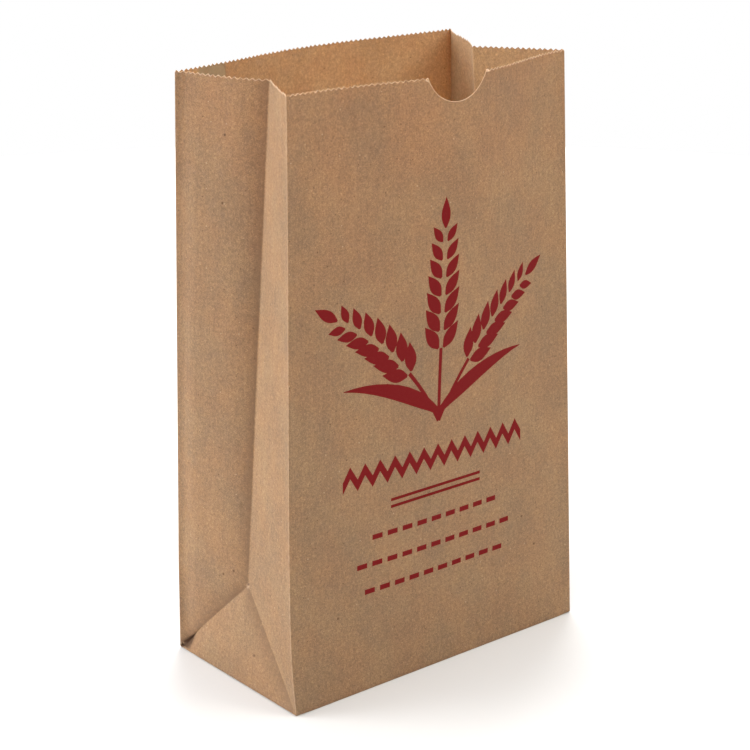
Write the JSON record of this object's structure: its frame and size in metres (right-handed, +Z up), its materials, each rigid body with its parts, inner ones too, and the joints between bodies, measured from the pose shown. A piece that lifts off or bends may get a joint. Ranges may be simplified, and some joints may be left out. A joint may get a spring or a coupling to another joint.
{
  "type": "paper lunch bag",
  "caption": "Small brown kraft paper bag standing open, with side gussets, folded block bottom, pinked mouth, thumb notch and glued back seam.",
  "frame": {"origin": "middle of the base, on the underside of the outer bottom flap, which is the surface that the bag stands on", "axes": "+Z up the bag, towards the open mouth; -Y is the front with the thumb notch; +X to the right seen from the front"},
  "size_m": [0.1687, 0.0965, 0.27],
  "materials": {
    "kraft_paper": "brown kraft paper, matt, with fine fibres and dark specks"
  },
  "bodies": {
    "root": {"paper_bag": "kraft_paper"}
  },
  "joints": []
}
